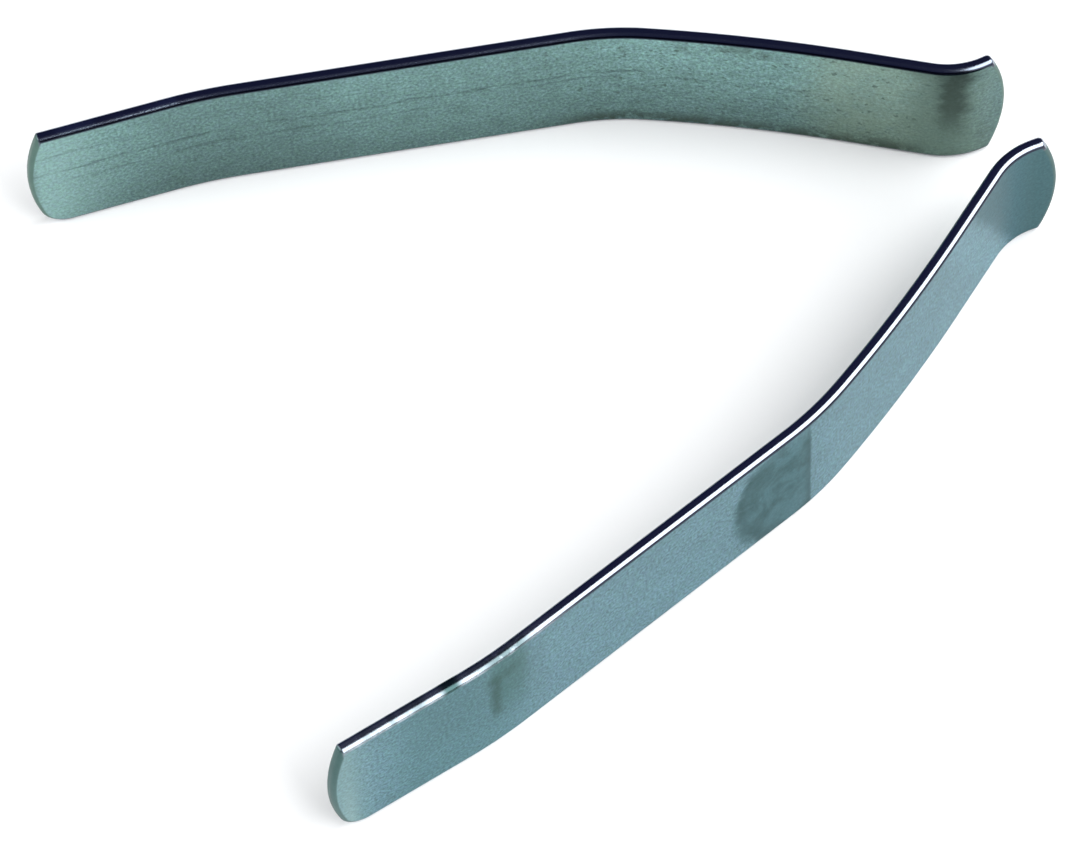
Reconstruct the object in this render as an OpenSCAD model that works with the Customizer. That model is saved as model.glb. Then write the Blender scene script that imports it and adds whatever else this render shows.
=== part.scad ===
// A left and right pair of hand-held cheek retractors. Each is one strip of stainless steel, bent
// and polished: a plain rounded handle end, a slight bend, the main bend, and a short lip that
// turns the other way. Both stand on a long edge. The front one is the mirror image of the rear
// one, with a flatter main bend. Lengths are in millimetres, measured along the middle of the
// strip, and turns are in degrees.

/* [Strip] */
// Width of the strip, which is its height as it stands on edge
strip_width = 22; // [16:0.5:30]
// Thickness of the sheet
strip_thickness = 2; // [1.8:0.1:3]
// Radius of the polished rounding along every edge
edge_radius = 0.8; // [0.3:0.05:0.85]

/* [Bends] */
// Straight handle end, up to the handle bend
handle_length = 21.5; // [12:0.5:40]
// Length of strip in the handle bend
handle_bend_length = 10; // [5:0.5:20]
// Turn of the handle bend
handle_turn = 7.5; // [2:0.5:15]
// Straight grip between the handle bend and the main bend
grip_length = 49; // [30:0.5:80]
// Length of strip in the main bend
main_bend_length = 11; // [6:0.5:20]
// Turn of the rear retractor's main bend
rear_main_turn = 15; // [8:0.5:25]
// Turn of the front retractor's main bend, which is a little flatter
front_main_turn = 12; // [8:0.5:25]
// Length of the slightly curved part of the blade
blade_bend_length = 30; // [15:0.5:40]
// Turn of the slightly curved part of the blade
blade_turn = 6.5; // [2:0.5:12]
// Straight part of the blade, up to the lip
blade_length = 11.5; // [5:0.5:30]
// Length of strip in the bend of the lip
lip_bend_length = 8; // [6:0.5:14]
// Turn of the lip, the opposite way to the other bends
lip_turn = 39; // [20:1:50]
// Flat tip of the lip
lip_tip_length = 3.2; // [3.2:0.1:8]

/* [Ends] */
// Radius of the arc across the handle's end
handle_end_radius = 28; // [18:1:60]
// Radius of the handle end's upper corner, which is nearly square
handle_upper_corner_radius = 0.5; // [0.3:0.1:6]
// Radius of the handle end's lower corner
handle_lower_corner_radius = 4.5; // [0.3:0.1:6]
// Radius of the arc across the lip's end
lip_end_radius = 27; // [25:1:60]
// Radius of the lip end's corners
lip_corner_radius = 0.8; // [0.3:0.1:1.2]

/* [Placing] */
// Handle end of the rear retractor, from left to right
rear_x = -73.9; // [-100:0.1:-40]
// Handle end of the rear retractor, from front to back
rear_y = 44.6; // [10:0.1:80]
// Heading of the rear retractor's handle, turned from left to right towards the back
rear_heading = 14; // [0:0.5:30]
// Handle end of the front retractor, from left to right
front_x = -33.9; // [-60:0.1:0]
// Handle end of the front retractor, from front to back
front_y = -57.9; // [-100:0.1:-40]
// Heading of the front retractor's handle
front_heading = 30; // [15:0.5:45]

/* [Hidden] */
steel = [0.62, 0.67, 0.68];
half_width = strip_width / 2;
half_thickness = strip_thickness / 2;
// Most degrees that a bend turns from one station to the next
station_turn = 2.5;
// Least radius of a corner where its outline is drawn in
least_corner_radius = 0.15;
// Steps across the arc of an end, around a corner and around the rounding of an edge
arc_steps = 6;
corner_steps = 6;
edge_steps = 5;

// The stretches of a strip from handle to lip, each a length and a turn. A turn to the right is negative.
function stretches(main_turn) = [
    [handle_length, 0],
    [handle_bend_length, -handle_turn],
    [grip_length, 0],
    [main_bend_length, -main_turn],
    [blade_bend_length, -blade_turn],
    [blade_length, 0],
    [lip_bend_length, lip_turn],
    [lip_tip_length, 0]
];

// Length of the first n stretches
function length_of(list, n) = n == 0 ? 0 : length_of(list, n - 1) + list[n - 1][0];

function turned(v, angle) = [v.x * cos(angle) - v.y * sin(angle), v.x * sin(angle) + v.y * cos(angle)];

// Plan position on one stretch, s along it and y to the left of its middle
function on_stretch(stretch, s, y) =
    stretch[1] == 0 ? [s, y]
    : let (radius = stretch[0] * 180 / (PI * stretch[1]), angle = stretch[1] * s / stretch[0])
        [(radius - y) * sin(angle), radius - (radius - y) * cos(angle)];

// Plan position on the whole bent strip
function bent(list, s, y, i = 0) =
    i == len(list) - 1 || s <= list[i][0] ? on_stretch(list[i], s, y)
    : on_stretch(list[i], list[i][0], 0) + turned(bent(list, s - list[i][0], y, i + 1), list[i][1]);

// Places along the strip, from the end of the handle to the start of the lip's tip, close together in bends
function stations(list) = [
    for (i = [0 : len(list) - 2])
        let (count = ceil(max(1, abs(list[i][1]) / station_turn)))
            for (k = [1 : count]) length_of(list, i) + list[i][0] * k / count
];

// Upper half of an end's outline as [distance from the tip, height], from the tip to the long edge
function end_curve(end_radius, corner_radius, inset) =
    let (
        arc = end_radius - inset,
        corner = max(corner_radius - inset, least_corner_radius),
        corner_z = half_width - inset - corner,
        spread = asin(corner_z / (arc - corner)),
        corner_x = end_radius - (arc - corner) * cos(spread)
    ) concat(
        [for (i = [0 : arc_steps]) let (a = spread * i / arc_steps)
            [end_radius - arc * cos(a), arc * sin(a)]],
        [for (i = [1 : corner_steps]) let (a = spread + (90 - spread) * i / corner_steps)
            [corner_x - corner * cos(a), corner_z + corner * sin(a)]]
    );

// The flat strip's whole outline, drawn in by inset: along the upper edge to the lip, and back below
function outline(list, inset) =
    let (
        length = length_of(list, len(list)),
        upper_corner = end_curve(handle_end_radius, handle_upper_corner_radius, inset),
        lower_corner = end_curve(handle_end_radius, handle_lower_corner_radius, inset),
        edge = [for (s = stations(list)) [s, half_width - inset]],
        lip = end_curve(lip_end_radius, lip_corner_radius, inset),
        lip_end = [for (i = [len(lip) - 1 : -1 : 0]) [length - lip[i].x, lip[i].y]],
        upper = concat(upper_corner, edge, lip_end),
        lower = concat(lower_corner, edge, lip_end)
    ) concat(upper, [for (i = [len(lower) - 2 : -1 : 1]) [lower[i].x, -lower[i].y]]);

// The rounding of an edge as [inset, place across the thickness], from the left face to the right
function edge_rows() = [
    for (side = [1, -1], i = [0 : edge_steps])
        let (a = 90 * (side > 0 ? edge_steps - i : i) / edge_steps)
            [edge_radius * (1 - cos(a)), side * (half_thickness - edge_radius * (1 - sin(a)))]
];

// One whole strip, centred on its middle height, with its handle end at the origin and heading +X
module strip(main_turn) {
    list = stretches(main_turn);
    rows = edge_rows();
    loops = [for (row = rows) outline(list, row[0])];
    around = len(loops[0]);
    half = around / 2;
    last = len(rows) - 1;
    points = [for (k = [0 : last], p = loops[k]) let (q = bent(list, p[0], rows[k][1])) [q.x, q.y, p[1]]];
    edges = [for (k = [0 : last - 1], j = [0 : around - 1]) let (n = (j + 1) % around)
        [k * around + j, k * around + n, (k + 1) * around + n, (k + 1) * around + j]];
    left = [for (j = [0 : half - 1])
        j == 0 ? [1, 0, around - 1]
        : j == half - 1 ? [half, half - 1, half + 1]
        : [j + 1, j, around - j, around - j - 1]];
    right = [for (face = left) [for (i = [len(face) - 1 : -1 : 0]) last * around + face[i]]];
    polyhedron(points, concat(edges, left, right));
}

module rear_retractor() {
    color(steel) translate([rear_x, rear_y, half_width]) rotate([0, 0, rear_heading])
        strip(rear_main_turn);
}

module front_retractor() {
    color(steel) translate([front_x, front_y, half_width]) rotate([0, 0, front_heading])
        mirror([0, 1, 0]) strip(front_main_turn);
}

rear_retractor();
front_retractor();
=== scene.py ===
"""A matched pair of hand-held cheek retractors in satin steel, standing on edge on a pale floor.

Each strip is a mesh of its own that stands for its CAD node: the same outline, bends and edge
rounding, with finer steps and exact normals. Lengths are in metres and turns in degrees, and the
materials of the strips count in millimetres.
"""

import math

import bpy
import numpy as np
from mathutils import Matrix, Vector


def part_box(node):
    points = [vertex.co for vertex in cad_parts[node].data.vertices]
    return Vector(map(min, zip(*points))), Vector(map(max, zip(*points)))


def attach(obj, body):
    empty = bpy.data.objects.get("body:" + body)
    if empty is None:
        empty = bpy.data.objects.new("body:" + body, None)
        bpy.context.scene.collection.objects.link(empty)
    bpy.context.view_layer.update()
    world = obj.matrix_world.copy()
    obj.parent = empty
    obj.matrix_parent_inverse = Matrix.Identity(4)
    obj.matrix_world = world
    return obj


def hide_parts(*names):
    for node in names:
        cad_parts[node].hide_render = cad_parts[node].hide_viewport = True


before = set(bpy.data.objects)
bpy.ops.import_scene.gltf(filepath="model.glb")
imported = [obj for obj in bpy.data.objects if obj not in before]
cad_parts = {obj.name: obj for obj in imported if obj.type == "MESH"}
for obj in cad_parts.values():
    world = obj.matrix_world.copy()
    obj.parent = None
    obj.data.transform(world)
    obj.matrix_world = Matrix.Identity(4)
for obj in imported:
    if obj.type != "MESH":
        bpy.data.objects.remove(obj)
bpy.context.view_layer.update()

MM = 0.001

# ---------------------------------------------------------------- sizes of a strip

REAR_LOW, REAR_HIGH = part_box("rear_retractor")
HALF_WIDTH = (REAR_HIGH.z - REAR_LOW.z) / 2
HALF_THICKNESS = 1.0 * MM
EDGE_RADIUS = 0.8 * MM

HANDLE_END_RADIUS = 28 * MM
HANDLE_UPPER_CORNER_RADIUS = 0.5 * MM
HANDLE_LOWER_CORNER_RADIUS = 4.5 * MM
LIP_END_RADIUS = 27 * MM
LIP_CORNER_RADIUS = 0.8 * MM
LEAST_CORNER_RADIUS = 0.15 * MM

REAR_MAIN_TURN = 15
FRONT_MAIN_TURN = 12
REAR_HEADING = 14
FRONT_HEADING = 30

# Steps of the mesh: along a long edge, across half an end's arc, across half a corner, and from a
# face to the middle of an edge's rounding
LENGTH_STEPS = 288
ARC_STEPS = 9
HALF_CORNER_STEPS = 4
EDGE_STEPS = 8
# How far from an end the columns of the face still follow that end's curve
END_BLEND = 14 * MM


def stretches(main_turn):
    """The strip from handle to lip, each stretch a length and a turn. A turn to the right is
    negative."""
    return [
        (21.5 * MM, 0),  # handle end
        (10 * MM, -7.5),  # handle bend
        (49 * MM, 0),  # grip
        (11 * MM, -main_turn),  # main bend
        (30 * MM, -6.5),  # slightly curved part of the blade
        (11.5 * MM, 0),  # straight part of the blade
        (8 * MM, 39),  # bend of the lip
        (3.2 * MM, 0),  # tip of the lip
    ]


LENGTH = sum(length for length, turn in stretches(0))


# ---------------------------------------------------------------- the strip's mesh


def along_path(main_turn, s):
    """Plan position and heading, in radians, of the strip's middle at each distance s from the
    handle's tip."""
    x, y, heading = np.zeros_like(s), np.zeros_like(s), np.zeros_like(s)
    start, corner, direction = 0.0, np.zeros(2), 0.0
    pieces = stretches(main_turn)
    for number, (length, turn) in enumerate(pieces):
        last = number == len(pieces) - 1
        here = (s >= start) & ((s <= start + length) | last)
        bend = math.radians(turn) / length
        run = np.append(s - start, length)
        turned = direction + bend * run
        if turn:
            step_x = (np.sin(turned) - math.sin(direction)) / bend
            step_y = (math.cos(direction) - np.cos(turned)) / bend
        else:
            step_x = run * math.cos(direction)
            step_y = run * math.sin(direction)
        x[here] = corner[0] + step_x[:-1][here]
        y[here] = corner[1] + step_y[:-1][here]
        heading[here] = turned[:-1][here]
        corner = corner + np.array([step_x[-1], step_y[-1]])
        direction = turned[-1]
        start += length
    return x, y, heading


def end_curve(end_radius, corner_radius, inset):
    """Upper half of an end's outline, drawn in by inset, from the tip to the long edge. A row is a
    point's distance from the tip, its height, and how far outwards points along each."""
    arc = end_radius - inset
    corner = max(corner_radius - inset, LEAST_CORNER_RADIUS)
    corner_height = HALF_WIDTH - inset - corner
    spread = math.asin(corner_height / (arc - corner))
    corner_distance = end_radius - (arc - corner) * math.cos(spread)
    rows = []
    for a in np.linspace(0, spread, ARC_STEPS + 1):
        rows.append((end_radius - arc * math.cos(a), arc * math.sin(a), math.cos(a), math.sin(a)))
    for a in np.linspace(spread, math.pi / 2, 2 * HALF_CORNER_STEPS + 1)[1:]:
        distance = corner_distance - corner * math.cos(a)
        height = corner_height + corner * math.sin(a)
        rows.append((distance, height, math.cos(a), math.sin(a)))
    return np.array(rows)


def smooth_fade(distance, reach):
    """1 at distance 0, falling smoothly to 0 at reach."""
    t = np.clip(distance / reach, 0, 1)
    return 1 - t * t * (3 - 2 * t)


def sides(inset):
    """The flat strip's outline, drawn in by inset: its handle end and lip end, each from the middle
    of the lower corner to that of the upper one, then its upper and lower edge from handle to lip.
    A row is (s, z, outward s, outward z)."""
    middle = ARC_STEPS + HALF_CORNER_STEPS
    upper_handle = end_curve(HANDLE_END_RADIUS, HANDLE_UPPER_CORNER_RADIUS, inset)
    lower_handle = end_curve(HANDLE_END_RADIUS, HANDLE_LOWER_CORNER_RADIUS, inset)
    lip = end_curve(LIP_END_RADIUS, LIP_CORNER_RADIUS, inset)
    for half in (upper_handle, lower_handle):
        half[:, 2] *= -1
    lip[:, 0] = LENGTH - lip[:, 0]
    run = np.linspace(lower_handle[-1, 0], lip[-1, 0], LENGTH_STEPS + 1)
    below = np.array([1, -1, 1, -1])

    def edge(handle):
        s = run + (handle[-1, 0] - run[0]) * smooth_fade(run - run[0], END_BLEND)
        straight = np.array([(place, HALF_WIDTH - inset, 0, 1) for place in s[1:-1]])
        return np.vstack([handle[middle:], straight, lip[middle:][::-1]])

    def end(lower, upper):
        return np.vstack([(lower[1 : middle + 1] * below)[::-1], upper[: middle + 1]])

    handle_end = end(lower_handle, upper_handle)
    return handle_end, end(lip, lip), edge(upper_handle), edge(lower_handle) * below


def outline(inset):
    """The whole outline in order: lower edge, lip end, upper edge and handle end."""
    handle_end, lip_end, upper, lower = sides(inset)
    return np.vstack([lower, lip_end[1:], upper[::-1][1:], handle_end[::-1][1:-1]])


def face_grid():
    """(s, z) of every point of a face, columns along the strip by rows from the lower edge to the
    upper one."""
    handle_end, lip_end, upper, lower = sides(EDGE_RADIUS)
    near_handle = smooth_fade(lower[:, 0] - lower[0, 0], END_BLEND)[:, None]
    near_lip = smooth_fade(lower[-1, 0] - lower[:, 0], END_BLEND)[:, None]

    def share(end):
        return (end[:, 1] - end[0, 1]) / (end[-1, 1] - end[0, 1])

    def bulge(end):
        return end[:, 0] - end[0, 0] - share(end) * (end[-1, 0] - end[0, 0])

    even = np.linspace(0, 1, len(handle_end))[None, :]
    up = even + near_handle * (share(handle_end) - even) + near_lip * (share(lip_end) - even)
    s = lower[:, :1] + up * (upper[:, :1] - lower[:, :1])
    s = s + near_handle * bulge(handle_end) + near_lip * bulge(lip_end)
    z = lower[:, 1:2] + up * (upper[:, 1:2] - lower[:, 1:2])
    return np.stack([s, z], axis=-1)


def loop_around(columns, rows):
    """(column, row) of a face's boundary points in order: lower edge, lip end, upper edge and
    handle end."""
    loop = [(c, 0) for c in range(columns)]
    loop += [(columns - 1, r) for r in range(1, rows)]
    loop += [(c, rows - 1) for c in range(columns - 2, -1, -1)]
    loop += [(0, r) for r in range(rows - 2, 0, -1)]
    return loop


def rim_rings():
    """The rounding of the edges, ring by ring from the left face to the right one. Each ring has
    its points' flat places (s, z, across), their outward directions and how far they have turned,
    which is 0 at a face and 1 on the middle of an edge."""
    profile = [(1, step) for step in range(EDGE_STEPS + 1)]
    profile += [(-1, step) for step in range(EDGE_STEPS, -1, -1)]
    rings = []
    for side, step in profile:
        a = math.pi / 2 * step / EDGE_STEPS
        ring = outline(EDGE_RADIUS * (1 - math.sin(a)))
        across = side * (HALF_THICKNESS - EDGE_RADIUS * (1 - math.cos(a)))
        flat = np.column_stack([ring[:, :2], np.full(len(ring), across)])
        outward = np.full(len(ring), side * math.cos(a))
        normal = np.column_stack([ring[:, 2:] * math.sin(a), outward])
        rings.append((flat, normal, np.full(len(ring), step / EDGE_STEPS)))
    return rings


def flat_strip():
    """Points, normals, turns and quads of the whole strip before it is bent: the rings of the rim,
    and the two faces inside them."""
    grid = face_grid()
    columns, rows = grid.shape[:2]
    loop = loop_around(columns, rows)
    around = len(loop)
    rings = rim_rings()
    flat, normal, turn = (list(values) for values in zip(*rings))
    count = around * len(rings)

    quads = []
    for k in range(len(rings) - 1):
        for j in range(around):
            n = (j + 1) % around
            here, beyond = k * around, (k + 1) * around
            quads.append((here + j, here + n, beyond + n, beyond + j))
    for side, first in ((1, 0), (-1, (len(rings) - 1) * around)):
        index = np.full((columns, rows), -1)
        for j, (c, r) in enumerate(loop):
            index[c, r] = first + j
        inside = index < 0
        inner = int(inside.sum())
        index[inside] = count + np.arange(inner)
        count += inner
        flat.append(np.column_stack([grid[inside], np.full(inner, side * HALF_THICKNESS)]))
        normal.append(np.tile([0.0, 0.0, side], (inner, 1)))
        turn.append(np.zeros(inner))
        for c in range(columns - 1):
            for r in range(rows - 1):
                quad = (index[c, r], index[c + 1, r], index[c + 1, r + 1], index[c, r + 1])
                quads.append(tuple(int(v) for v in (quad[::-1] if side > 0 else quad)))
    return np.vstack(flat), np.vstack(normal), np.concatenate(turn), quads


def bent(main_turn, flat, normal):
    """Points and normals of the flat strip, taken along its bends."""
    x, y, heading = along_path(main_turn, flat[:, 0])
    cos, sin = np.cos(heading), np.sin(heading)
    points = np.column_stack([x - sin * flat[:, 2], y + cos * flat[:, 2], flat[:, 1]])
    along, up, across = normal.T
    normals = np.column_stack([along * cos - across * sin, along * sin + across * cos, up])
    return points, normals


def strip_mesh(name, main_turn, heading, mirrored):
    """One whole strip as a closed mesh. Its attribute strip_place holds each point's distance from
    the handle's tip, height above the middle line and side of the sheet, in millimetres, and
    edge_turn is 0 on a face and 1 on the middle of an edge."""
    flat, normal, turn, quads = flat_strip()
    points, normals = bent(main_turn, flat, normal)
    if mirrored:
        points[:, 1] *= -1
        normals[:, 1] *= -1
        quads = [quad[::-1] for quad in quads]
    a = math.radians(heading)
    spin = np.array([[math.cos(a), math.sin(a), 0], [-math.sin(a), math.cos(a), 0], [0, 0, 1]])
    points, normals = points @ spin, normals @ spin

    mesh = bpy.data.meshes.new(name)
    mesh.from_pydata(points.tolist(), [], quads)
    mesh.polygons.foreach_set("use_smooth", [True] * len(mesh.polygons))
    place = mesh.attributes.new("strip_place", "FLOAT_VECTOR", "POINT")
    place.data.foreach_set("vector", (flat / MM).astype(np.float32).ravel())
    edge = mesh.attributes.new("edge_turn", "FLOAT", "POINT")
    edge.data.foreach_set("value", turn.astype(np.float32))
    mesh.normals_split_custom_set_from_vertices(normals.tolist())
    mesh.update()
    return mesh


def strip(name, node, main_turn, heading, mirrored, material):
    """A strip in the place that its CAD node has."""
    mesh = strip_mesh(name, main_turn, heading, mirrored)
    piece = bpy.data.objects.new(name, mesh)
    bpy.context.scene.collection.objects.link(piece)
    low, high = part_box(node)
    points = np.array([v.co for v in mesh.vertices])
    middle = Vector((points.min(0) + points.max(0)) / 2)
    mesh.transform(Matrix.Translation((low + high) / 2 - middle))
    mesh.materials.append(material)
    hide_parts(node)
    return piece


# ---------------------------------------------------------------- materials


class Nodes:
    """Short calls for building one material's node tree."""

    def __init__(self, name):
        self.material = bpy.data.materials.new(name)
        self.material.use_nodes = True
        self.tree = self.material.node_tree
        self.shader = self.tree.nodes["Principled BSDF"]

    def put(self, socket, value):
        if isinstance(value, bpy.types.NodeSocket):
            self.tree.links.new(value, socket)
        else:
            socket.default_value = value

    def attribute(self, name, output):
        node = self.tree.nodes.new("ShaderNodeAttribute")
        node.attribute_name = name
        return node.outputs[output]

    def maths(self, operation, a, b=0.0):
        node = self.tree.nodes.new("ShaderNodeMath")
        node.operation = operation
        self.put(node.inputs[0], a)
        self.put(node.inputs[1], b)
        return node.outputs[0]

    def split(self, vector):
        node = self.tree.nodes.new("ShaderNodeSeparateXYZ")
        self.put(node.inputs[0], vector)
        return node.outputs[0], node.outputs[1], node.outputs[2]

    def scaled(self, vector, factors, offset):
        node = self.tree.nodes.new("ShaderNodeVectorMath")
        node.operation = "MULTIPLY_ADD"
        self.put(node.inputs[0], vector)
        node.inputs[1].default_value = factors
        node.inputs[2].default_value = offset
        return node.outputs[0]

    def noise(self, vector, detail, roughness, distortion):
        """A noise whose features are about one unit of the vector in size."""
        node = self.tree.nodes.new("ShaderNodeTexNoise")
        self.put(node.inputs["Vector"], vector)
        node.inputs["Scale"].default_value = 1.0
        node.inputs["Detail"].default_value = detail
        node.inputs["Roughness"].default_value = roughness
        node.inputs["Distortion"].default_value = distortion
        return node.outputs["Fac"]

    def between(self, value, low, high, out_low=0.0, out_high=1.0):
        """value taken from low..high to out_low..out_high, smoothly and clamped."""
        node = self.tree.nodes.new("ShaderNodeMapRange")
        node.interpolation_type = "SMOOTHSTEP"
        self.put(node.inputs["Value"], value)
        node.inputs["From Min"].default_value = low
        node.inputs["From Max"].default_value = high
        node.inputs["To Min"].default_value = out_low
        node.inputs["To Max"].default_value = out_high
        return node.outputs["Result"]

    def mix(self, factor, a, b):
        node = self.tree.nodes.new("ShaderNodeMix")
        node.data_type = "RGBA"
        self.put(node.inputs[0], factor)
        self.put(node.inputs[6], (*a, 1) if isinstance(a, tuple) else a)
        self.put(node.inputs[7], (*b, 1) if isinstance(b, tuple) else b)
        return node.outputs[2]

    def number_mix(self, factor, a, b):
        node = self.tree.nodes.new("ShaderNodeMix")
        self.put(node.inputs[0], factor)
        self.put(node.inputs[2], a)
        self.put(node.inputs[3], b)
        return node.outputs[0]

    def bump(self, height, distance):
        node = self.tree.nodes.new("ShaderNodeBump")
        node.inputs["Strength"].default_value = 1.0
        node.inputs["Distance"].default_value = distance
        self.put(node.inputs["Height"], height)
        return node.outputs[0]


# Colours of the faces turned away from the camera, a plainer steel without the teal painted into
# the seen faces, and of the painted shade along the line where a polished edge meets a face
UNSEEN_FACE = (0.175, 0.25, 0.255)
CREASE_SHADE = (0.012, 0.014, 0.03)

# Half the width of a strip and its whole length, in the materials' millimetres
TOP = HALF_WIDTH / MM
TIP = LENGTH / MM


class Steel(Nodes):
    """Satin steel with polished edges: where each point of a strip is, its noises, and how the
    finish goes together. Distances are in millimetres: s from the handle's tip, z from the middle
    line and side through the sheet. seen is 1 on the face that the camera sees, whose side is +1 or
    -1, and 0 on the other."""

    def __init__(self, name, offset, seen_side):
        super().__init__(name)
        self.place, self.offset = self.attribute("strip_place", "Vector"), offset
        self.s, self.z, self.side = self.split(self.place)
        self.turn = self.attribute("edge_turn", "Fac")
        self.seen = self.between(self.maths("MULTIPLY", self.side, seen_side), -0.3, 0.3)
        self.streaks = self.spread((0.05, 2.0, 0.5), detail=4, roughness=0.6)
        self.scratches = self.spread((0.6, 14, 3), detail=2)
        self.mottle = self.spread((0.3, 0.36, 0.5), detail=6, roughness=0.62)
        self.speckle = self.spread((2.1, 2.1, 1.0), detail=3, roughness=0.7)
        self.wander = self.spread((0.16, 0.2, 0.2), detail=3)
        self.tint = self.between(self.spread((1.5, 1.5, 0.7), detail=3), 0.35, 0.65)
        self.tone = 1.0
        self.colour = None

    def spread(self, factors, detail=3.0, roughness=0.5, distortion=0.0):
        """A noise with that many features per millimetre along the strip, up it and through it."""
        place = self.scaled(self.place, factors, self.offset)
        return self.noise(place, detail, roughness, distortion)

    def shifted(self, value, noise, reach):
        """value moved by up to about a third of reach either way, so that a border made from it
        isn't straight."""
        away = self.maths("MULTIPLY", self.maths("SUBTRACT", noise, 0.5), reach)
        return self.maths("ADD", value, away)

    def window(self, value, low, high, soft):
        """1 between low and high, falling smoothly to 0 across soft on either side of each."""
        rise = self.between(value, low - soft, low + soft)
        return self.all_of(rise, self.between(value, high - soft, high + soft, 1.0, 0.0))

    def all_of(self, first, *masks):
        for mask in masks:
            first = self.maths("MULTIPLY", first, mask)
        return first

    def distance_from(self, s, flattening):
        """Distance from the middle line at s, with heights counted by that factor."""
        along = self.maths("SUBTRACT", self.s, s)
        up = self.maths("MULTIPLY", self.z, flattening)
        squares = self.maths("ADD", self.all_of(along, along), self.all_of(up, up))
        return self.maths("SQRT", squares)

    def lighten(self, mask, amount):
        """The tone goes up by that share where the mask is 1, or down if amount is negative."""
        change = self.maths("ADD", self.maths("MULTIPLY", mask, amount), 1.0)
        self.tone = self.maths("MULTIPLY", self.tone, change)

    def vary(self, noise, amount):
        self.lighten(self.maths("SUBTRACT", noise, 0.5), amount)

    def settle(self):
        """Applies the tone collected so far to the colour."""
        node = self.tree.nodes.new("ShaderNodeVectorMath")
        node.operation = "SCALE"
        self.put(node.inputs[0], self.colour)
        self.put(node.inputs["Scale"], self.tone)
        self.colour = node.outputs[0]
        self.tone = 1.0

    def stain_and_light(self, mask, strength, colour):
        """Mixes a colour over what is there so far: real stains, and painted highlights and shade
        too.
        """
        self.settle()
        self.colour = self.mix(self.maths("MULTIPLY", mask, strength), self.colour, colour)

    def finish(self, edge_colour, edge_rough, crease, end_colour, tilt):
        """Joins the face to its rim: polished long edges, satin ends painted dark, and a dark
        crease painted where a long edge meets a face. tilt is how much an edge's top leans towards
        the face that is seen."""
        self.settle()
        on_end = self.between(self.maths("ABSOLUTE", self.z), TOP - 1.6, TOP - 0.9, 1.0, 0.0)
        near_handle_tip = self.between(self.s, 2.2, 2.7, 1.0, 0.0)
        near_lip_tip = self.between(self.s, TIP - 2.2, TIP - 1.8)
        for near_tip in (near_handle_tip, near_lip_tip):
            on_end = self.maths("MAXIMUM", on_end, near_tip)
        on_long_edge = self.maths("SUBTRACT", 1.0, on_end)
        # Painted shade: a dark line where a long edge rounds into a face, in place of what it
        # mirrors
        line = self.all_of(self.window(self.turn, 0.06, 0.5, 0.05), crease, on_long_edge, 0.9)
        rim = self.mix(line, self.mix(on_end, edge_colour, end_colour), CREASE_SHADE)
        on_rim = self.between(self.turn, 0.0, 0.25)
        self.put(self.shader.inputs["Base Color"], self.mix(on_rim, self.colour, rim))
        self.shader.inputs["Metallic"].default_value = 1.0

        face_rough = self.between(self.scratches, 0.3, 0.7, 0.38, 0.46)
        rim_rough = self.number_mix(on_end, edge_rough, 0.45)
        rough = self.number_mix(on_rim, face_rough, rim_rough)
        self.put(self.shader.inputs["Roughness"], rough)

        relief = self.maths("MULTIPLY", self.scratches, 0.6)
        for noise, height in ((self.speckle, 1.4), (self.streaks, 0.5)):
            relief = self.maths("ADD", relief, self.maths("MULTIPLY", noise, height))
        lean = self.maths("MULTIPLY", self.side, tilt)
        relief = self.maths("ADD", self.maths("MULTIPLY", relief, 0.006), lean)
        self.put(self.shader.inputs["Normal"], self.bump(relief, 0.001))
        return self.material


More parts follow.
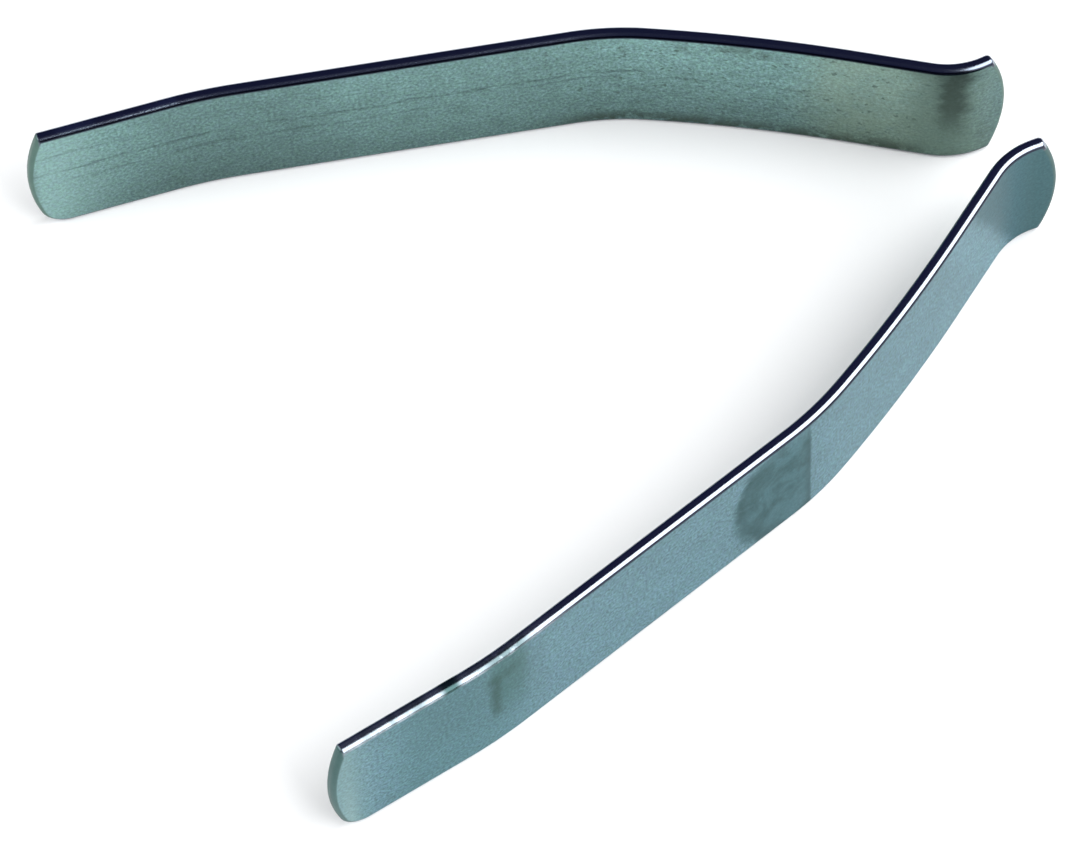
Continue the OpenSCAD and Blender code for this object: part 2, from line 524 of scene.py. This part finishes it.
def rear_finish():
    """The rear steel: brighter at the handle, darker towards the lower edge in painted shade,
    with fine lengthwise marks, tarnished olive before and in the lip's bend, and darker brown in
    that bend."""
    n = Steel("rear_steel", (0, 0, 0), -1)
    seen, tint, mottle = n.seen, n.tint, n.mottle
    s = n.shifted(n.s, n.wander, 6.0)
    z = n.shifted(n.z, n.wander, 1.6)

    # Bare face, grainy and a little darker below: painted shade, mirroring the darker floor at its
    # foot
    # Painted light: the seen face has the steel's own colour with the teal of its light and
    # reflections painted in, while the face turned away is plainer steel
    face = n.mix(tint, (0.123, 0.226, 0.207), (0.127, 0.222, 0.224))
    n.colour = n.mix(seen, UNSEEN_FACE, face)
    n.vary(mottle, 0.65)
    n.vary(n.speckle, 1.05)
    n.vary(n.streaks, 0.2)
    n.lighten(n.maths("DIVIDE", n.z, TOP), 0.18)

    # Bright handle end, with a darker tip and a darker stretch after it
    bright = n.between(n.shifted(s, mottle, 9.0), 1.0, 16.0, 1.0, 0.0)
    bright = n.all_of(bright, n.between(seen, 0.0, 1.0, 0.4, 1.0))
    n.stain_and_light(bright, 0.85, n.mix(tint, (0.222, 0.378, 0.346), (0.23, 0.37, 0.372)))
    n.vary(n.speckle, 0.5)
    n.lighten(n.window(n.s, 0.0, 1.2, 0.5), -0.2)
    n.lighten(n.window(s, 18.0, 44.0, 5.0), -0.18)

    # Broken lengthwise marks: height, start, end and strength
    marks = ((6.2, 1, 24, 0.24), (2.2, 0, 92, 0.42), (-0.5, 0, 60, 0.28), (0.9, 74, 122, 0.36))
    dashes = n.between(n.spread((0.17, 1.6, 0.5), detail=5, roughness=0.7), 0.42, 0.55)
    for height, start, end, strength in marks:
        line = n.window(z, height - 0.26, height + 0.26, 0.3)
        n.lighten(n.all_of(line, dashes, n.window(n.s, start, end, 4), seen), -strength)

    # Worn, patchy steel from the main bend on
    patches = n.spread((1.1, 1.2, 0.5), detail=4, roughness=0.65)
    worn = n.window(n.s, 84, 137, 10)
    n.lighten(n.all_of(worn, n.between(z, -8.0, 9.0)), 0.3)
    n.lighten(n.all_of(worn, n.maths("SUBTRACT", patches, 0.5)), 1.0)

    # Olive tarnish up to the lip, and darker in the lip's bend
    olive = n.mix(n.between(z, -9.0, 8.0), (0.168, 0.234, 0.166), (0.255, 0.345, 0.27))
    tarnish = n.all_of(n.window(s, 116.0, 139.5, 6.0), n.between(mottle, 0.3, 0.6, 0.6, 1.0), seen)
    n.stain_and_light(tarnish, 0.6, olive)
    n.vary(n.speckle, 0.8)
    n.stain_and_light(n.all_of(n.window(s, 130.5, 139.3, 2.2), seen), 0.55, (0.088, 0.145, 0.118))
    core = n.window(n.shifted(n.s, mottle, 6.5), 134.2, 138.2, 1.4)
    n.stain_and_light(n.all_of(core, n.between(z, -8.0, 2.0), seen), 0.75, (0.032, 0.056, 0.046))
    n.lighten(n.between(n.s, 139.0, 140.5), -0.22)

    # Dirt along the lower edge, a few patches near the upper one, and specks
    low = n.all_of(n.between(z, -10.4, -6.8, 1.0, 0.0), n.window(n.s, 78, 134, 8))
    n.stain_and_light(n.all_of(low, n.between(mottle, 0.36, 0.52), seen), 0.85, (0.03, 0.05, 0.038))
    high = n.all_of(n.between(z, 5.5, 9.0), n.window(n.s, 95, 111, 4))
    n.stain_and_light(n.all_of(high, n.between(mottle, 0.46, 0.6), seen), 0.5, (0.05, 0.08, 0.066))
    specks = n.between(n.spread((1.0, 1.3, 0.5), detail=1), 0.64, 0.74)
    n.stain_and_light(n.all_of(specks, n.window(n.s, 74, 134, 8), seen), 0.6, (0.05, 0.08, 0.066))

    # Rim: a polished edge, lighter in blotches near the handle, and dull ends, their dark colour
    # painted shade
    blotches = n.all_of(n.between(n.wander, 0.44, 0.6), n.between(n.s, 22, 34, 1.0, 0.0))
    edge = n.mix(blotches, (0.24, 0.28, 0.34), (0.36, 0.44, 0.52))
    end = n.mix(mottle, (0.07, 0.13, 0.11), (0.13, 0.22, 0.19))
    return n.finish(edge, 0.18, 1.0, end, 0.0)


def front_finish():
    """The front steel: a thin mark at the handle bend, a water mark before the main bend, a painted
    sheen at the handle's end, and a lighter blade and darker lip that are painted reflection."""
    n = Steel("front_steel", (40, 20, 9), 1)
    seen, mottle = n.seen, n.mottle
    s = n.shifted(n.s, n.wander, 5.0)
    z = n.shifted(n.z, mottle, 3.0)

    # Bare face, a little lighter towards the lower edge, which is painted light
    # Painted light: the seen face's teal is that of its light and reflections, painted in
    face = n.mix(n.tint, (0.112, 0.228, 0.25), (0.118, 0.222, 0.272))
    n.colour = n.mix(seen, UNSEEN_FACE, face)
    n.vary(mottle, 0.5)
    n.vary(n.speckle, 1.7)
    n.lighten(n.maths("DIVIDE", n.z, TOP), -0.05)

    # Shaded handle with a lighter end, which is a painted sheen
    n.stain_and_light(n.all_of(n.window(s, 10.0, 32.0, 5.0), seen), 0.38, (0.04, 0.15, 0.155))
    shade = n.all_of(n.window(s, 14.0, 34.0, 4.0), n.between(z, -8.0, 4.0), seen)
    n.lighten(shade, -0.12)
    n.stain_and_light(n.all_of(n.between(n.s, 2.0, 8.0, 1.0, 0.0), seen), 0.5, (0.18, 0.305, 0.3))
    sheen = n.all_of(n.window(n.s, 1.2, 3.4, 1.4), n.between(z, -11.0, 6.0, 1.0, 0.3), seen)
    n.stain_and_light(sheen, 0.45, (0.27, 0.38, 0.37))

    # Light band and dark zone before the lip, both slanting, and the darker lip: painted
    # reflection, lighter and darker where the face turns into the lip
    slant = n.maths("ADD", n.s, n.maths("MULTIPLY", n.z, 0.59))
    slant = n.shifted(slant, n.wander, 3.0)
    n.lighten(n.window(slant, 124.0, 129.5, 2.6), 0.18)
    n.stain_and_light(n.all_of(n.between(slant, 129.3, 132.3), seen), 0.85, (0.03, 0.112, 0.134))
    n.stain_and_light(n.all_of(n.between(n.s, 136.5, 140.5), seen), 0.5, (0.06, 0.125, 0.13))

    # Thin mark at the handle bend, with a faint patch to its right and a hook at its top
    patch = n.window(n.shifted(n.s, mottle, 3.0), 26.2, 32.0, 1.3)
    n.stain_and_light(n.all_of(patch, n.between(z, -7.0, 2.0), seen), 0.42, (0.02, 0.1, 0.078))
    mark = n.window(n.shifted(n.s, mottle, 1.8), 25.8, 27.4, 0.8)
    n.stain_and_light(n.all_of(mark, n.window(z, -3.4, 7.6, 1.6), seen), 0.62, (0.01, 0.054, 0.044))
    hook = n.window(n.s, 25.5, 30.5, 1.8)
    n.stain_and_light(n.all_of(hook, n.window(z, 5.4, 7.6, 1.3), seen), 0.5, (0.014, 0.066, 0.054))

    # Water stain: a disc run out to a straight right side, rippled inside, with darker borders
    radius = n.shifted(n.distance_from(79.3, 0.8), mottle, 4.0)
    disc = n.between(radius, 8.4, 10.8, 1.0, 0.0)
    inside = n.maths("MAXIMUM", disc, n.window(n.s, 78.0, 86.0, 1.5))
    right_side = n.between(n.s, 83.7, 84.3, 1.0, 0.0)
    inside = n.all_of(inside, right_side, n.between(z, 7.0, 11.0, 1.0, 0.6), seen)
    ripples = n.spread((0.24, 0.2, 0.2), detail=4, roughness=0.6, distortion=0.8)
    ripples = n.between(ripples, 0.34, 0.66)
    n.stain_and_light(inside, 0.92, n.mix(ripples, (0.012, 0.072, 0.078), (0.045, 0.135, 0.155)))
    n.vary(n.speckle, 0.8)
    tide = n.all_of(inside, n.window(radius, 7.4, 9.4, 1.0), n.between(n.s, 74.0, 81.0, 1.0, 0.0))
    n.stain_and_light(tide, 0.5, (0.008, 0.055, 0.06))
    border = n.all_of(inside, n.between(n.s, 82.4, 83.9), n.between(n.z, 9.5, 6.5))
    n.stain_and_light(border, 0.5, (0.008, 0.056, 0.062))

    # Rim: the upper edge's highlight is softer near the handle and broken by gaps, each a start,
    # end, softness and strength. The gaps are painted shade, a darker edge colour
    near_handle = n.between(n.s, 30.0, 44.0, 1.0, 0.0)
    uneven = n.between(n.spread((0.7, 0.3, 0.3), detail=3), 0.4, 0.66, 0.0, 0.5)
    gaps = n.all_of(uneven, near_handle)
    broken = n.all_of(n.window(n.s, 25.0, 33.0, 2.0), n.between(mottle, 0.42, 0.58), 0.8)
    gaps = n.maths("MAXIMUM", gaps, broken)
    spots = ((5.6, 7.2, 0.7, 0.45), (13.4, 15.8, 1.0, 0.6), (18.4, 21.4, 0.9, 1.0))
    for start, end, soft, strength in spots:
        gaps = n.maths("MAXIMUM", gaps, n.all_of(n.window(n.s, start, end, soft), strength))
    gaps = n.all_of(gaps, n.between(n.z, -2.0, 2.0))
    edge = n.mix(near_handle, (0.32, 0.36, 0.42), (0.36, 0.41, 0.46))
    edge = n.mix(gaps, edge, (0.05, 0.095, 0.095))
    rough = n.number_mix(near_handle, 0.17, 0.25)
    crease = n.maths("SUBTRACT", 1.0, near_handle)
    # Dull ends, their dark colour painted shade
    end = n.mix(mottle, (0.05, 0.1, 0.095), (0.09, 0.17, 0.165))
    return n.finish(edge, rough, crease, end, n.maths("MULTIPLY", near_handle, -0.04))


# ---------------------------------------------------------------- stage, light and camera


# Places of the two side panels, and how far before each the floor ends, so that it is still
# brightly lit there
LEFT_PANEL_X = -0.8
RIGHT_PANEL_X = 0.6
FLOOR_GAP = 0.2
FLOOR_FRONT = -1.1
FLOOR_BACK = 0.4
FLOOR_COLOUR = (0.86, 0.87, 0.88, 1)

# The world as it lights the scene, as metal mirrors it, and as the camera sees it behind the floor
WORLD_LIGHT = (0.35, 0.35, 0.35, 1)
WORLD_MIRRORED = (0.017, 0.019, 0.07, 1)
WORLD_SEEN = (1, 1, 1, 1)


def floor_piece():
    """A pale, dull floor under both strips."""
    left, right = LEFT_PANEL_X + FLOOR_GAP, RIGHT_PANEL_X - FLOOR_GAP
    corners = [(x, FLOOR_FRONT, 0) for x in (left, right)]
    corners += [(x, FLOOR_BACK, 0) for x in (right, left)]
    mesh = bpy.data.meshes.new("floor")
    mesh.from_pydata(corners, [], [(0, 1, 2, 3)])
    floor = bpy.data.objects.new("floor", mesh)
    bpy.context.scene.collection.objects.link(floor)
    material = bpy.data.materials.new("pale_floor")
    material.use_nodes = True
    shader = material.node_tree.nodes["Principled BSDF"]
    shader.inputs["Base Color"].default_value = FLOOR_COLOUR
    shader.inputs["Roughness"].default_value = 0.9
    shader.inputs["Specular IOR Level"].default_value = 0.1
    mesh.materials.append(material)


def side_panel(name, x, front, back, bottom, top, radiance):
    """An upright softbox beside the object at that x, which faces it and has that even radiance."""
    width, height = back - front, top - bottom
    data = bpy.data.lights.new(name, "AREA")
    data.shape = "RECTANGLE"
    data.size, data.size_y = width, height
    data.energy = radiance * math.pi * width * height
    lamp = bpy.data.objects.new(name, data)
    lamp.location = (x, (front + back) / 2, (bottom + top) / 2)
    lamp.rotation_euler = (math.pi / 2, 0, math.copysign(math.pi / 2, x))
    lamp.visible_camera = False
    bpy.context.scene.collection.objects.link(lamp)


def dim_world():
    """A dim studio: dark blue where metal mirrors it, and white behind the floor's edge."""
    world = bpy.data.worlds.new("dim_studio")
    bpy.context.scene.world = world
    world.use_nodes = True
    tree = world.node_tree
    rays = tree.nodes.new("ShaderNodeLightPath")
    mirrored = tree.nodes.new("ShaderNodeMix")
    mirrored.data_type = "RGBA"
    mirrored.inputs[6].default_value = WORLD_LIGHT
    mirrored.inputs[7].default_value = WORLD_MIRRORED
    tree.links.new(rays.outputs["Is Glossy Ray"], mirrored.inputs[0])
    seen = tree.nodes.new("ShaderNodeMix")
    seen.data_type = "RGBA"
    seen.inputs[7].default_value = WORLD_SEEN
    tree.links.new(rays.outputs["Is Camera Ray"], seen.inputs[0])
    tree.links.new(mirrored.outputs[2], seen.inputs[6])
    tree.links.new(seen.outputs[2], tree.nodes["Background"].inputs["Color"])


CAMERA_TARGET = Vector((-2.2, 5.7, 0)) * MM
CAMERA_DISTANCE = 882.3 * MM
CAMERA_ELEVATION = 59.0
CAMERA_ROLL = -3.49
CAMERA_LENS = 205.9
CAMERA_SENSOR = 36


def photo_camera():
    """A camera that looks down at its target from straight in front, rolled a little."""
    data = bpy.data.cameras.new("camera")
    data.lens = CAMERA_LENS
    data.sensor_width = CAMERA_SENSOR
    camera = bpy.data.objects.new("camera", data)
    tilt, roll = math.radians(CAMERA_ELEVATION), math.radians(CAMERA_ROLL)
    back = Vector((0, -math.cos(tilt), math.sin(tilt)))
    level_up = Vector((0, math.sin(tilt), math.cos(tilt)))
    right = Vector((1, 0, 0)) * math.cos(roll) + level_up * math.sin(roll)
    up = back.cross(right)
    camera.location = CAMERA_TARGET + back * CAMERA_DISTANCE
    camera.rotation_mode = "QUATERNION"
    camera.rotation_quaternion = Matrix((right, up, back)).transposed().to_quaternion()
    bpy.context.scene.collection.objects.link(camera)
    bpy.context.scene.camera = camera


bpy.context.scene.view_settings.view_transform = "Standard"
photo_camera()
floor_piece()
dim_world()
side_panel("right_panel", RIGHT_PANEL_X, front=-1.15, back=0.5, bottom=0.15, top=2.3, radiance=4.0)
side_panel("left_panel", LEFT_PANEL_X, front=-0.6, back=0.5, bottom=0.25, top=1.4, radiance=2.5)

rear_steel, front_steel = rear_finish(), front_finish()
rear = strip("rear_strip", "rear_retractor", REAR_MAIN_TURN, REAR_HEADING, False, rear_steel)
front = strip("front_strip", "front_retractor", FRONT_MAIN_TURN, FRONT_HEADING, True, front_steel)
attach(rear, "rear_retractor")
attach(front, "front_retractor")
